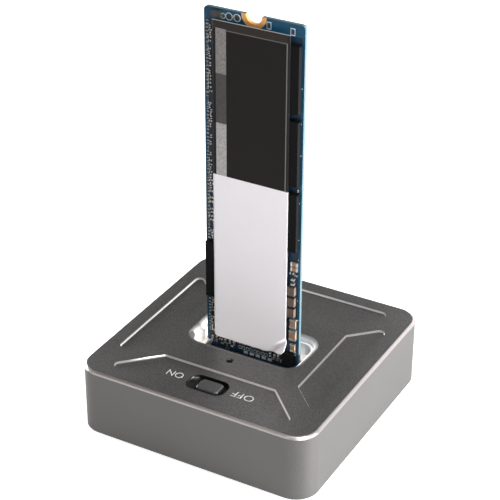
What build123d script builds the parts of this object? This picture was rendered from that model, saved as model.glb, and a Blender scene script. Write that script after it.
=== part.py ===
from build123d import *
import os

# Docking station for one bare M.2 card that stands upright in the dock's top.
# Millimetres, +Z up. The origin is on the table under the dock's centre, -Y is the face
# below the switch and +Y is the face with the USB-C port.

# Dock body
body_side = 54.0
wall_height = 15.0
corner_radius = 5.0
top_edge_chamfer = 0.6
side_wall = 2.0
top_plate = 3.0
foot_standoff = 0.8
pocket_depth = 0.4
pocket_wall_slope = 30.0
pocket_outer_rounding = 1.2
side_pocket_lip_gap = 2.6
side_pocket_edge_gap = 3.6
side_pocket_inner_half = 10.9
end_pocket_lip_gap = 7.1
end_pocket_edge_gap = 3.8
end_pocket_inner_half = 13.0

# Bottom cover, its screws and the feet
cover_thickness = 1.5
cover_gap = 0.15
cover_screw_inset = 5.0
post_radius = 3.2
screw_shank_radius = 0.78
screw_hole_gap = 0.04
cover_screw_head_radius = 1.9
cover_screw_head_height = 1.0
cover_screw_length = 6.0
screw_hole_end_gap = 1.0
cross_length = 1.9
cross_width = 0.5
cross_depth = 0.5
foot_radius = 4.0
foot_recess = 0.3
foot_inset_x = 14.0
foot_inset_y = 8.0
foot_edge_chamfer = 0.3

# Main board and its screws
board_gap_above_cover = 1.3
board_thickness = 1.6
board_side_gap = 1.0
board_post_inset = 4.0
board_post_y = 12.0
board_post_radius = 2.2
board_screw_head_radius = 1.7
board_screw_head_height = 1.0
board_screw_length = 4.5

# Card opening and its liner
opening_end_gap = 1.5
opening_half_width = 5.8
opening_corner_radius = 3.0
opening_lip_radius = 1.2
liner_gap = 0.05
liner_wall = 0.5
liner_floor = 0.6
liner_floor_drop = 3.8
liner_flange_width = 1.2
liner_flange_thickness = 0.6

# Switch
switch_x = 0.0
switch_forward = 0.35
switch_travel = 1.5
recess_length = 8.9
recess_width = 5.3
recess_radius = 2.0
recess_depth = 1.2
knob_length = 5.0
knob_width = 3.6
knob_corner_radius = 0.8
knob_top_above_pocket = 0.1
knob_floor_gap = 0.2
knob_edge_chamfer = 0.3
knob_offset = 0.5
stem_length = 2.0
stem_width = 1.5
stem_in_knob = 0.5
stem_gap = 0.3
slider_length = 4.4
slider_width = 2.3
slider_height = 1.9
slider_gap = 0.1
frame_length = 8.6
frame_width = 3.6
frame_height = 3.5
frame_wall = 0.35
frame_lift = 0.25
base_height = 0.9
terminal_width = 0.6
terminal_length = 1.1
terminal_thickness = 0.2
terminal_pitch = 2.5

# Status light
light_x = -0.2
light_y = -9.6
light_hole_radius = 0.6
light_hole_flare = 0.25
pipe_gap = 0.08
pipe_recess = 0.6
pipe_flange_radius = 1.2
pipe_flange_height = 0.6
pipe_rod_radius = 0.9
led_length = 1.6
led_width = 0.8
led_height = 0.6
led_gap = 0.5

# USB-C port in the back wall
port_width = 8.94
port_height = 3.26
port_depth = 7.35
port_shell_wall = 0.3
port_wall_gap = 0.25
port_face_recess = 0.4
port_back_wall = 1.6
tongue_width = 6.7
tongue_thickness = 0.7
tongue_length = 4.6
port_contact_width = 0.25
port_contact_thickness = 0.05
port_contact_length = 3.2
port_contact_pitch = 0.5
port_contact_count = 12

# Card, after the M.2 2280 outline
card_width = 22.0
card_height = 76.0
card_thickness = 0.8
card_corner_radius = 0.8
card_foot_radius = 0.5
tongue_inset = 1.075
tongue_board_length = 4.0
shoulder_below_top = 3.2
key_offset = -6.125
key_width = 1.2
key_length = 3.5
notch_radius = 1.75
ring_outer_radius = 2.75
ring_thickness = 0.05
finger_width = 0.35
finger_length = 2.5
finger_thickness = 0.035
finger_end_gap = 0.3
finger_pitch = 0.5
finger_edge_gap = 0.6
finger_key_gap = 0.9

# What stands on the card's front, and its label
chip_height = 1.1
chip_edge = 0.12
memory_width = 18.0
memory_height = 14.0
memory_edge_gap = 0.55
memory_low_bottom = 42.4
memory_gap = 1.6
memory_top_gap = 3.6
buffer_width = 10.5
buffer_height = 13.0
buffer_bottom = 27.6
controller_edge_gap = 0.3
controller_width = 16.0
controller_height = 13.0
controller_bottom = 11.6
power_chip_size = 2.7
power_chip_edge_gap = 0.9
power_chip_bottom = 0.3
power_chip_height = 0.8
large_cap_width = 2.0
large_cap_height = 2.25
large_cap_depth = 1.0
large_cap_edge_gap = 0.55
large_cap_bottom = 12.1
large_cap_pitch = 2.55
large_cap_count = 3
small_cap_width = 1.5
small_cap_depth = 0.7
small_cap_edge_gap = 0.55
# Bottom above the card's shoulder, and height
small_cap_places = ((3.6, 1.8), (6.4, 2.5), (9.3, 2.2), (22.9, 0.9), (24.0, 0.9))
label_left_gap = 1.8
label_right_gap = 2.5
label_bottom_gap = 2.4
label_top_gap = 1.9
label_thickness = 0.12
label_corner_radius = 1.4
label_small_radius = 0.4

# Card connector
connector_end_wall = 0.925
connector_width = 5.6
connector_below_shoulder = 1.0
connector_slot_gap = 0.15
connector_slot_side_gap = 0.1
connector_slot_floor_gap = 0.1
connector_lead_in = 0.25
lead_in_slope = 45.0
connector_key_gap = 0.1
connector_edge_rounding = 0.3
contact_width = 0.22
contact_thickness = 0.15
contact_pocket_gap = 0.03
contact_riser_y = 1.25
contact_tail_y = 3.6
contact_finger_gap = 0.035
contact_bend_height = 3.2
contact_bump_below_top = 1.7
contact_tip_below_top = 0.8
contact_tip_back = 0.3
pocket_back_gap = 0.12
pocket_top_cover = 0.4

# Parts on the main board: distance in from the left or right pair of posts, y, and the sizes
bridge_chip_place = (7.0, 9.5)
bridge_chip_size = (7.0, 7.0, 0.85)
firmware_place = (5.5, -9.0)
firmware_size = (4.9, 3.9, 1.5)
crystal_place = (7.0, 16.6)
crystal_size = (3.2, 2.5, 0.7)
inductor_place = (6.5, 12.0)
inductor_size = (4.2, 4.2, 2.0)
regulator_places = ((4.5, -9.5), (11.4, 14.2))
regulator_size = (2.9, 1.6, 1.1)
left_ceramic_places = ((4.6, 14.2), (10.0, 16.6), (12.0, 14.0), (13.0, 7.0), (13.0, 9.0),
                       (10.2, -9.0), (12.5, -13.0))
right_ceramic_places = ((2.0, -8.6), (7.6, -9.5), (8.0, 7.6), (10.8, 7.6), (14.5, -13.0))
ceramic_size = (1.6, 0.8, 0.8)

# How far a cutting solid runs past the face that it cuts, and the slack in finding a level
cut_past = 1.0
level_slack = 0.01

# Levels and places worked out from the sizes above
body_bottom = foot_standoff
body_top = body_bottom + wall_height
plate_bottom = body_top - top_plate
half_side = body_side / 2
cover_top = body_bottom + cover_thickness
board_bottom = cover_top + board_gap_above_cover
board_top = board_bottom + board_thickness
inner_half = half_side - side_wall
board_half = inner_half - board_side_gap
board_post_x = board_half - board_post_inset
cover_screw_place = half_side - cover_screw_inset
foot_x = half_side - foot_inset_x
foot_y = half_side - foot_inset_y
card_half = card_width / 2
tongue_half = card_half - tongue_inset
opening_half_length = card_half + opening_end_gap
side_pocket_inner = opening_half_length + opening_lip_radius + side_pocket_lip_gap
side_pocket_outer = half_side - side_pocket_edge_gap
end_pocket_inner = opening_half_width + opening_lip_radius + end_pocket_lip_gap
end_pocket_outer = half_side - end_pocket_edge_gap
switch_y = -(end_pocket_inner + end_pocket_outer) / 2 - switch_forward
shoulder = body_top - shoulder_below_top
card_end = shoulder - tongue_board_length
card_top = shoulder + card_height
card_front = -card_thickness / 2
connector_top = shoulder - connector_below_shoulder
slot_floor = card_end - connector_slot_floor_gap
pocket_floor = body_top - pocket_depth
recess_bottom = pocket_floor - recess_depth
knob_bottom = recess_bottom + knob_floor_gap
knob_top = pocket_floor + knob_top_above_pocket
knob_x = switch_x + knob_offset
slider_mid_x = knob_x - switch_travel / 2
stem_slot_length = stem_length + switch_travel + 2 * stem_gap
stem_slot_width = stem_width + 2 * stem_gap
pipe_top = body_top - pipe_recess
port_mid_z = board_top + port_height / 2
port_front = half_side - port_face_recess
screw_hole_radius = screw_shank_radius + screw_hole_gap
liner_floor_top = body_top - liner_floor_drop
slot_half = tongue_half + connector_slot_gap
connector_length = 2 * (slot_half + connector_end_wall)
front_finger_count = int(2 * (tongue_half - finger_edge_gap) / finger_pitch) + 1
memory_room = card_height - memory_low_bottom - memory_top_gap
memory_count = int((memory_room + memory_gap) / (memory_height + memory_gap))
label_back = card_front - chip_height
label_left = -card_half + label_left_gap
label_right = card_half - label_right_gap
label_bottom = shoulder + label_bottom_gap
label_top = card_top - label_top_gap


def block(x_range, y_range, z_range):
    size = (x_range[1] - x_range[0], y_range[1] - y_range[0], z_range[1] - z_range[0])
    corner = (x_range[0], y_range[0], z_range[0])
    return Pos(*corner) * Box(*size, align=(Align.MIN, Align.MIN, Align.MIN))


def centred_block(x, y, length, width, z_range):
    return block((x - length / 2, x + length / 2), (y - width / 2, y + width / 2), z_range)


def rounded_block(length, width, radius, z_range, x=0.0, y=0.0):
    outline = RectangleRounded(length, width, radius)
    return Pos(x, y, z_range[0]) * extrude(outline, z_range[1] - z_range[0])


def upright_cylinder(x, y, radius, z_range):
    foot = (Align.CENTER, Align.CENTER, Align.MIN)
    return Pos(x, y, z_range[0]) * Cylinder(radius, z_range[1] - z_range[0], align=foot)


def four_corners(x, y):
    return [(sx * x, sy * y) for sx in (-1, 1) for sy in (-1, 1)]


def edges_at_height(shape, z):
    return shape.edges().filter_by_position(Axis.Z, z - level_slack, z + level_slack)


def pocket_cutter(inner, outer, inner_half):
    """A trapezoid pocket on the +X side with 45 degree ends, its long edge outside."""
    outer_half = inner_half + (outer - inner)
    corners = [(inner, -inner_half), (outer, -outer_half), (outer, outer_half), (inner, inner_half)]
    outline = make_face(Polyline(*corners, close=True))
    outline = fillet(outline.vertices().group_by(Axis.X)[-1], pocket_outer_rounding)
    outline = fillet(outline.vertices().group_by(Axis.X)[0], pocket_outer_rounding / 2)
    return Pos(0, 0, body_top) * extrude(outline, -pocket_depth, taper=pocket_wall_slope)


def make_pockets():
    side = pocket_cutter(side_pocket_inner, side_pocket_outer, side_pocket_inner_half)
    end = pocket_cutter(end_pocket_inner, end_pocket_outer, end_pocket_inner_half)
    return side + Rot(0, 0, 180) * side + Rot(0, 0, 90) * end + Rot(0, 0, -90) * end


def port_solid(gap, y_range):
    """The port's round-ended outline, drawn larger by a gap and run along Y."""
    outline = Plane.XZ * SlotOverall(port_width + 2 * gap, port_height + 2 * gap)
    return Pos(0, y_range[1], port_mid_z) * extrude(outline, y_range[1] - y_range[0])


def make_top_housing():
    height = (body_bottom, body_top)
    body = rounded_block(body_side, body_side, corner_radius, height)
    body = chamfer(edges_at_height(body, body_top), top_edge_chamfer)
    inner_radius = corner_radius - side_wall
    below_plate = (body_bottom, plate_bottom)
    body -= rounded_block(2 * inner_half, 2 * inner_half, inner_radius, below_plate)
    for x, y in four_corners(cover_screw_place, cover_screw_place):
        post = upright_cylinder(x, y, post_radius, (cover_top, plate_bottom))
        inside = rounded_block(body_side - side_wall, body_side - side_wall, corner_radius, height)
        body += post & inside
    for x, y in four_corners(board_post_x, board_post_y):
        body += upright_cylinder(x, y, board_post_radius, (board_top, plate_bottom))
    for x, y in four_corners(cover_screw_place, cover_screw_place):
        depth = (cover_top - cut_past, body_bottom + cover_screw_length + screw_hole_end_gap)
        body -= upright_cylinder(x, y, screw_hole_radius, depth)
    for x, y in four_corners(board_post_x, board_post_y):
        depth = (board_bottom, board_bottom + board_screw_length + screw_hole_end_gap)
        body -= upright_cylinder(x, y, screw_hole_radius, depth)
    through = (plate_bottom - cut_past, body_top + cut_past)
    body -= rounded_block(2 * opening_half_length, 2 * opening_half_width, opening_corner_radius, through)
    lip_x = opening_half_length + level_slack
    lip_y = opening_half_width + level_slack
    lip = edges_at_height(body, body_top).filter_by_position(Axis.X, -lip_x, lip_x)
    body = fillet(lip.filter_by_position(Axis.Y, -lip_y, lip_y), opening_lip_radius)
    recess_levels = (recess_bottom, body_top + cut_past)
    recess = rounded_block(recess_length, recess_width, recess_radius, recess_levels, switch_x, switch_y)
    body -= make_pockets()
    body -= recess
    body -= centred_block(slider_mid_x, switch_y, stem_slot_length, stem_slot_width, through)
    body -= upright_cylinder(light_x, light_y, light_hole_radius, through)
    flare = Cone(light_hole_radius, light_hole_radius + light_hole_flare, light_hole_flare)
    body -= Pos(light_x, light_y, body_top - light_hole_flare / 2) * flare
    body -= port_solid(port_wall_gap, (inner_half - cut_past, half_side + cut_past))
    return body


def make_slot_liner():
    outer_length = 2 * (opening_half_length - liner_gap)
    outer_width = 2 * (opening_half_width - liner_gap)
    outer_radius = opening_corner_radius - liner_gap
    rim = body_top - opening_lip_radius
    floor_bottom = liner_floor_top - liner_floor
    tub = rounded_block(outer_length, outer_width, outer_radius, (floor_bottom, rim))
    inner_radius = outer_radius - liner_wall
    inner_size = (outer_length - 2 * liner_wall, outer_width - 2 * liner_wall)
    tub -= rounded_block(*inner_size, inner_radius, (liner_floor_top, rim + cut_past))
    flange_size = (outer_length + 2 * liner_flange_width, outer_width + 2 * liner_flange_width)
    flange_levels = (plate_bottom - liner_flange_thickness, plate_bottom)
    flange = rounded_block(*flange_size, outer_radius + liner_flange_width, flange_levels)
    flange -= rounded_block(*inner_size, inner_radius, flange_levels)
    tub += flange
    hole = (connector_length + 2 * liner_gap, connector_width + 2 * liner_gap)
    tub -= centred_block(0, 0, *hole, (floor_bottom - cut_past, liner_floor_top + cut_past))
    return tub


def make_bottom_cover():
    side = 2 * (inner_half - cover_gap)
    radius = corner_radius - side_wall - cover_gap
    cover = rounded_block(side, side, radius, (body_bottom, cover_top))
    for x, y in four_corners(foot_x, foot_y):
        cover -= upright_cylinder(x, y, foot_radius + liner_gap, (body_bottom, body_bottom + foot_recess))
    for x, y in four_corners(cover_screw_place, cover_screw_place):
        cover -= upright_cylinder(x, y, screw_hole_radius, (body_bottom, cover_top))
        cover -= countersunk_head(x, y, screw_hole_gap)
    return cover


def countersunk_head(x, y, gap):
    wide = cover_screw_head_radius + gap
    narrow = screw_shank_radius + gap
    head = Cone(wide, narrow, cover_screw_head_height)
    return Pos(x, y, body_bottom + cover_screw_head_height / 2) * head


def make_cover_screws():
    screws = []
    for x, y in four_corners(cover_screw_place, cover_screw_place):
        shank = (body_bottom + cover_screw_head_height / 2, body_bottom + cover_screw_length)
        screw = countersunk_head(x, y, 0) + upright_cylinder(x, y, screw_shank_radius, shank)
        screws.append(screw - cross_recess(x, y))
    return Compound(screws)


def cross_recess(x, y):
    levels = (body_bottom, body_bottom + cross_depth)
    arm = centred_block(x, y, cross_length, cross_width, levels)
    return arm + centred_block(x, y, cross_width, cross_length, levels)


def make_board_screws():
    screws = []
    for x, y in four_corners(board_post_x, board_post_y):
        head_levels = (board_bottom - board_screw_head_height, board_bottom)
        screw = upright_cylinder(x, y, board_screw_head_radius, head_levels)
        shank_levels = (board_bottom, board_bottom + board_screw_length)
        screws.append(screw + upright_cylinder(x, y, screw_shank_radius, shank_levels))
    return Compound(screws)


def make_rubber_feet():
    feet = []
    for x, y in four_corners(foot_x, foot_y):
        foot = upright_cylinder(x, y, foot_radius, (0, body_bottom + foot_recess))
        feet.append(chamfer(edges_at_height(foot, 0), foot_edge_chamfer))
    return Compound(feet)


def make_main_board():
    size = 2 * board_half
    board = centred_block(0, 0, size, size, (board_bottom, board_top))
    for x, y in four_corners(cover_screw_place, cover_screw_place):
        relief = post_radius + board_side_gap
        sx = 1 if x > 0 else -1
        sy = 1 if y > 0 else -1
        corner_x = sorted((x - sx * relief, sx * half_side))
        corner_y = sorted((y - sy * relief, sy * half_side))
        board -= block(corner_x, corner_y, (board_bottom, board_top))
    for x, y in four_corners(board_post_x, board_post_y):
        board -= upright_cylinder(x, y, screw_hole_radius, (board_bottom, board_top))
    return board


def row_places(count):
    """Contact places along the card's edge, without those that the key takes."""
    places = [(number - (count - 1) / 2) * finger_pitch for number in range(count)]
    return [x for x in places if abs(x - key_offset) > finger_key_gap]


def front_places():
    return row_places(front_finger_count)


def back_places():
    """The back row stands half a pitch over, so it has one place fewer."""
    return row_places(front_finger_count - 1)


def contact_profile():
    """Side view of one spring for the front row, as outward y and height z."""
    bump_y = card_thickness / 2 + finger_thickness + contact_finger_gap
    bump_z = connector_top - contact_bump_below_top
    tip_z = connector_top - contact_tip_below_top
    bend_z = board_top + contact_bend_height
    thick = contact_thickness
    inner_y = contact_riser_y - thick
    tip_y = bump_y + contact_tip_back
    return [(contact_tail_y, board_top), (contact_riser_y - thick, board_top), (inner_y, bend_z),
            (bump_y, bump_z), (tip_y, tip_z), (tip_y + thick, tip_z), (bump_y + thick, bump_z),
            (contact_riser_y, bend_z), (contact_riser_y, board_top + thick),
            (contact_tail_y, board_top + thick)]


def one_contact(x, side):
    points = [(x, side * y, z) for y, z in contact_profile()]
    face = make_face(Polyline(*points, close=True))
    return Pos(-contact_width / 2, 0, 0) * extrude(face, contact_width, dir=(1, 0, 0))


def make_connector_contacts():
    front = [one_contact(x, -1) for x in front_places()]
    back = [one_contact(x, 1) for x in back_places()]
    return Compound(front + back)


def contact_pocket(x, side):
    """The open channel that one spring works in, with the way out for its tail."""
    width = contact_width + 2 * contact_pocket_gap
    deep_y = contact_riser_y + pocket_back_gap
    top = connector_top - pocket_top_cover
    channel_y = sorted((0, side * deep_y))
    tail_y = sorted((side * deep_y, side * connector_width))
    x_range = (x - width / 2, x + width / 2)
    channel = block(x_range, channel_y, (board_top, top))
    tail = block(x_range, tail_y, (board_top, board_top + contact_thickness + 2 * contact_pocket_gap))
    return [channel, tail]


def make_connector_housing():
    housing = centred_block(0, 0, connector_length, connector_width, (board_top, connector_top))
    housing = fillet(housing.edges().filter_by(Axis.Z), connector_edge_rounding)
    slot_half_width = card_thickness / 2 + connector_slot_side_gap
    slot_levels = (slot_floor, connector_top + cut_past)
    slot = block((-slot_half, slot_half), (-slot_half_width, slot_half_width), slot_levels)
    mouth = (2 * (slot_half + connector_lead_in), 2 * (slot_half_width + connector_lead_in))
    lead_in = extrude(Rectangle(*mouth), -connector_lead_in, taper=lead_in_slope)
    pockets = [piece for x in front_places() for piece in contact_pocket(x, -1)]
    pockets += [piece for x in back_places() for piece in contact_pocket(x, 1)]
    middle = block((-slot_half, slot_half), (-slot_half_width, slot_half_width), (board_top, slot_floor))
    housing = housing - pockets - slot - Pos(0, 0, connector_top) * lead_in
    housing += middle
    key_half = key_width / 2 - connector_key_gap
    key_top = card_end + key_length - key_width / 2 - connector_key_gap
    key = block((key_offset - key_half, key_offset + key_half), (-slot_half_width, slot_half_width),
                (slot_floor, key_top))
    return housing + key


def make_card_board():
    y_range = (card_front, -card_front)
    board = block((-card_half, card_half), y_range, (shoulder, card_top))
    edges = board.edges().filter_by(Axis.Y)
    board = fillet(edges.group_by(Axis.Z)[-1], card_corner_radius)
    board = fillet(board.edges().filter_by(Axis.Y).group_by(Axis.Z)[0], card_foot_radius)
    board += block((-tongue_half, tongue_half), y_range, (card_end, shoulder + card_foot_radius))
    key_half = key_width / 2
    straight_top = card_end + key_length - key_half
    key_x = (key_offset - key_half, key_offset + key_half)
    board -= block(key_x, y_range, (card_end - cut_past, straight_top))
    board -= across_cylinder(key_offset, straight_top, key_half, y_range)
    board -= across_cylinder(0, card_top, notch_radius + ring_thickness, y_range)
    return board


def across_cylinder(x, z, radius, y_range):
    middle = (y_range[0] + y_range[1]) / 2
    return Pos(x, middle, z) * Rot(90, 0, 0) * Cylinder(radius, y_range[1] - y_range[0])


def make_mounting_ring():
    outer_y = (card_front - ring_thickness, -card_front + ring_thickness)
    wall_radius = notch_radius + ring_thickness
    ring = across_cylinder(0, card_top, ring_outer_radius, outer_y)
    inside = across_cylinder(0, card_top, ring_outer_radius + cut_past, (card_front, -card_front))
    inside -= across_cylinder(0, card_top, wall_radius, (card_front, -card_front))
    ring -= inside
    ring -= across_cylinder(0, card_top, notch_radius, outer_y)
    below = block((-card_width, card_width), outer_y, (shoulder, card_top))
    return ring & below


def make_edge_contacts():
    levels = (card_end + finger_end_gap, card_end + finger_end_gap + finger_length)
    front_y = (card_front - finger_thickness, card_front)
    back_y = (-card_front, -card_front + finger_thickness)
    rows = [(x, front_y) for x in front_places()] + [(x, back_y) for x in back_places()]
    half = finger_width / 2
    return Compound([block((x - half, x + half), y_range, levels) for x, y_range in rows])


def card_chip(edge_gap, width, bottom, length, height):
    """A package on the card's front, a gap in from its right edge, with its face edges broken."""
    right = card_half - edge_gap
    z_range = (shoulder + bottom, shoulder + bottom + length)
    chip = block((right - width, right), (card_front - height, card_front), z_range)
    face_edges = chip.faces().sort_by(Axis.Y)[0].edges()
    return chamfer(face_edges, chip_edge)


def make_memory_chips():
    chips = []
    for number in range(memory_count):
        bottom = memory_low_bottom + number * (memory_height + memory_gap)
        chips.append(card_chip(memory_edge_gap, memory_width, bottom, memory_height, chip_height))
    return Compound(chips)


def make_memory_buffer():
    return card_chip(memory_edge_gap, buffer_width, buffer_bottom, buffer_height, chip_height)


def make_controller():
    right_gap = card_width - controller_edge_gap - controller_width
    return card_chip(right_gap, controller_width, controller_bottom, controller_height, chip_height)


def make_power_chip():
    size = power_chip_size
    return card_chip(power_chip_edge_gap, size, power_chip_bottom, size, power_chip_height)


def make_large_capacitors():
    capacitors = []
    for number in range(large_cap_count):
        bottom = large_cap_bottom + number * large_cap_pitch
        size = (large_cap_width, bottom, large_cap_height, large_cap_depth)
        capacitors.append(card_chip(large_cap_edge_gap, *size))
    return Compound(capacitors)


def make_small_capacitors():
    capacitors = []
    for bottom, height in small_cap_places:
        size = (small_cap_width, bottom, height, small_cap_depth)
        capacitors.append(card_chip(small_cap_edge_gap, *size))
    return Compound(capacitors)


def make_label():
    width = label_right - label_left
    height = label_top - label_bottom
    outline = Rectangle(width, height)
    lifted = outline.vertices().group_by(Axis.Y)[0].sort_by(Axis.X)[-1]
    outline = fillet(lifted, label_corner_radius)
    others = [v for v in outline.vertices() if v.X < 0 or v.Y > 0]
    outline = fillet(others, label_small_radius)
    sheet = Rot(90, 0, 0) * extrude(outline, label_thickness)
    middle = ((label_left + label_right) / 2, label_back, (label_bottom + label_top) / 2)
    return Pos(*middle) * sheet


def make_port_shell():
    y_range = (port_front - port_depth, port_front)
    shell = port_solid(0, y_range)
    shell -= port_solid(-port_shell_wall, (y_range[0] + port_back_wall, y_range[1] + cut_past))
    return shell


def make_port_tongue():
    root = port_front - port_depth + port_back_wall
    levels = (port_mid_z - tongue_thickness / 2, port_mid_z + tongue_thickness / 2)
    tongue = centred_block(0, root + tongue_length / 2, tongue_width, tongue_length, levels)
    return fillet(tongue.faces().sort_by(Axis.Y)[-1].edges().filter_by(Axis.Z), tongue_thickness / 2)


def make_port_contacts():
    root = port_front - port_depth + port_back_wall
    contacts = []
    for side in (-1, 1):
        face = port_mid_z + side * tongue_thickness / 2
        levels = sorted((face, face + side * port_contact_thickness))
        for number in range(port_contact_count):
            x = (number - (port_contact_count - 1) / 2) * port_contact_pitch
            middle_y = root + port_contact_length / 2
            contacts.append(centred_block(x, middle_y, port_contact_width, port_contact_length, levels))
    return Compound(contacts)


def make_switch_frame():
    levels = (board_top + frame_lift, board_top + frame_height)
    frame = centred_block(slider_mid_x, switch_y, frame_length, frame_width, levels)
    cavity_levels = (levels[0], levels[1] - frame_wall)
    inner = (frame_length - 2 * frame_wall, frame_width - 2 * frame_wall)
    frame -= centred_block(slider_mid_x, switch_y, *inner, cavity_levels)
    slot = (stem_length + switch_travel + stem_gap, stem_width + stem_gap)
    frame -= centred_block(slider_mid_x, switch_y, *slot, (cavity_levels[0], levels[1]))
    return frame


def make_switch_base():
    inner = (frame_length - 2 * frame_wall, frame_width - 2 * frame_wall)
    return centred_block(slider_mid_x, switch_y, *inner, (board_top, board_top + base_height))


def make_switch_terminals():
    terminals = []
    base_edge = frame_width / 2 - frame_wall
    middle_y = switch_y + base_edge + terminal_length / 2
    levels = (board_top, board_top + terminal_thickness)
    for number in (-1, 0, 1):
        x = slider_mid_x + number * terminal_pitch
        terminals.append(centred_block(x, middle_y, terminal_width, terminal_length, levels))
    return Compound(terminals)


def make_switch_slider():
    bottom = board_top + base_height + slider_gap
    top = bottom + slider_height
    carriage = centred_block(knob_x, switch_y, slider_length, slider_width, (bottom, top))
    stem_levels = (top, knob_bottom + stem_in_knob)
    return carriage + centred_block(knob_x, switch_y, stem_length, stem_width, stem_levels)


def make_switch_knob():
    levels = (knob_bottom, knob_top)
    knob = rounded_block(knob_length, knob_width, knob_corner_radius, levels, knob_x, switch_y)
    knob = chamfer(edges_at_height(knob, knob_top), knob_edge_chamfer)
    stem_levels = (knob_bottom, knob_bottom + stem_in_knob)
    return knob - centred_block(knob_x, switch_y, stem_length, stem_width, stem_levels)


def make_status_led():
    return centred_block(light_x, light_y, led_length, led_width, (board_top, board_top + led_height))


def make_light_pipe():
    pipe = upright_cylinder(light_x, light_y, light_hole_radius - pipe_gap, (plate_bottom, pipe_top))
    flange_levels = (plate_bottom - pipe_flange_height, plate_bottom)
    pipe += upright_cylinder(light_x, light_y, pipe_flange_radius, flange_levels)
    rod_levels = (board_top + led_height + led_gap, flange_levels[0])
    return pipe + upright_cylinder(light_x, light_y, pipe_rod_radius, rod_levels)


def left_part(place, size):
    """A part on the main board, placed from the left pair of board posts."""
    length, width, height = size
    return centred_block(place[0] - board_post_x, place[1], length, width, (board_top, board_top + height))


def right_part(place, size):
    length, width, height = size
    return centred_block(board_post_x - place[0], place[1], length, width, (board_top, board_top + height))


def make_voltage_regulators():
    return Compound([right_part(place, regulator_size) for place in regulator_places])


def make_board_capacitors():
    left = [left_part(place, ceramic_size) for place in left_ceramic_places]
    right = [right_part(place, ceramic_size) for place in right_ceramic_places]
    return Compound(left + right)


parts = {
    "top_housing": make_top_housing,
    "slot_liner": make_slot_liner,
    "bottom_cover": make_bottom_cover,
    "cover_screws": make_cover_screws,
    "rubber_feet": make_rubber_feet,
    "main_board": make_main_board,
    "board_screws": make_board_screws,
    "connector_housing": make_connector_housing,
    "connector_contacts": make_connector_contacts,
    "port_shell": make_port_shell,
    "port_tongue": make_port_tongue,
    "port_contacts": make_port_contacts,
    "switch_frame": make_switch_frame,
    "switch_base": make_switch_base,
    "switch_terminals": make_switch_terminals,
    "switch_slider": make_switch_slider,
    "switch_knob": make_switch_knob,
    "status_led": make_status_led,
    "light_pipe": make_light_pipe,
    "bridge_chip": lambda: left_part(bridge_chip_place, bridge_chip_size),
    "firmware_memory": lambda: left_part(firmware_place, firmware_size),
    "crystal": lambda: left_part(crystal_place, crystal_size),
    "power_inductor": lambda: right_part(inductor_place, inductor_size),
    "voltage_regulators": make_voltage_regulators,
    "board_capacitors": make_board_capacitors,
    "ssd_board": make_card_board,
    "ssd_edge_contacts": make_edge_contacts,
    "ssd_mounting_ring": make_mounting_ring,
    "ssd_memory_chips": make_memory_chips,
    "ssd_memory_buffer": make_memory_buffer,
    "ssd_controller": make_controller,
    "ssd_power_chip": make_power_chip,
    "ssd_large_capacitors": make_large_capacitors,
    "ssd_small_capacitors": make_small_capacitors,
    "ssd_label": make_label,
}

os.makedirs("parts", exist_ok=True)
for name, make in parts.items():
    export_step(make(), "parts/" + name + ".step")
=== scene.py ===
"""A small square aluminium dock that holds a bare M.2 card upright in its top.

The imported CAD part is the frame. Every piece here is in metres in that frame, with +Z up and
the switch on the -Y side, and rides on the dock, the switch or the card.
"""
import random
from math import cos, pi, radians, sin

import bmesh
import bpy
from mathutils import Matrix, Vector


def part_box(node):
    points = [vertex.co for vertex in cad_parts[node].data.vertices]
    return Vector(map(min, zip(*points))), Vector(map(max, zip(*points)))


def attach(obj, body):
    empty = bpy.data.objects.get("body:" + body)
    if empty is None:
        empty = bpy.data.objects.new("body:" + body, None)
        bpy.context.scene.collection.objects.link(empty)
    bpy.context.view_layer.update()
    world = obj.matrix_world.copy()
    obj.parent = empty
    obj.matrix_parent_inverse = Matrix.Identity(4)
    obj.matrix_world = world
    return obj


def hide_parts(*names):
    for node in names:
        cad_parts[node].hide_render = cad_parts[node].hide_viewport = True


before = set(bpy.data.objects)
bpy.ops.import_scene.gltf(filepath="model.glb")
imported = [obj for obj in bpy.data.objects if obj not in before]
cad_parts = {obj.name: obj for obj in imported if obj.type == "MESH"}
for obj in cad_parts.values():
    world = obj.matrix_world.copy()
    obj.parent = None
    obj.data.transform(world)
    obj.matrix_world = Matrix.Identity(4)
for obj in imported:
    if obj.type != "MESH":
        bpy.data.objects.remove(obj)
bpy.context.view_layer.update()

MM = 0.001

# Levels and edges that the CAD nodes set
_, housing_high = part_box("top_housing")
board_low, board_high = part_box("ssd_board")
label_low, label_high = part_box("ssd_label")
pipe_low, pipe_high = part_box("light_pipe")
DOCK_TOP = housing_high.z
DOCK_HALF = housing_high.x
LIGHT_HOLE = (pipe_low.xy + pipe_high.xy) / 2
CARD_HALF = board_high.x
CARD_FRONT = board_low.y
CARD_MIDDLE = (board_low.y + board_high.y) / 2

# Where the dock's finishes, its painted shade and its painted reflection change
POCKET_FLOOR = DOCK_TOP - 0.4 * MM
CUT_DEPTH = 0.62 * MM
RIM_WIDTH = 1.5 * MM
TOP_THICKNESS = 2.6 * MM
LIP_HALF_X = 13.75 * MM
LIP_HALF_Y = 7.05 * MM
LIP_DEPTH = 3.1 * MM
# depth over which the lip's painted reflection turns from grey to white
LIP_FADE = 0.75 * MM
LINER_FRONT = -4.0 * MM
LINER_HALF_X = 11.5 * MM
LINER_SHADE = 1.5 * MM
RECESS_HALF_X = 4.6 * MM
RECESS_HALF_Y = 2.8 * MM
SWITCH_Y = -19.0 * MM
LIGHT_REACH = 1.6 * MM
HAIR = 0.01 * MM

# Places and sizes on the card
CARD_SHOULDER = board_high.z - 76.0 * MM
PARTS_TOP = 73.5 * MM
# the mask's painted shade stops this far from the card's edges
BARE_MARGIN = 0.55 * MM
COPPER_PATCH = 1.8 * MM
TRACK_TILE = 4.0 * MM
LABEL_LEFT = label_low.x + 0.7 * MM


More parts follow.
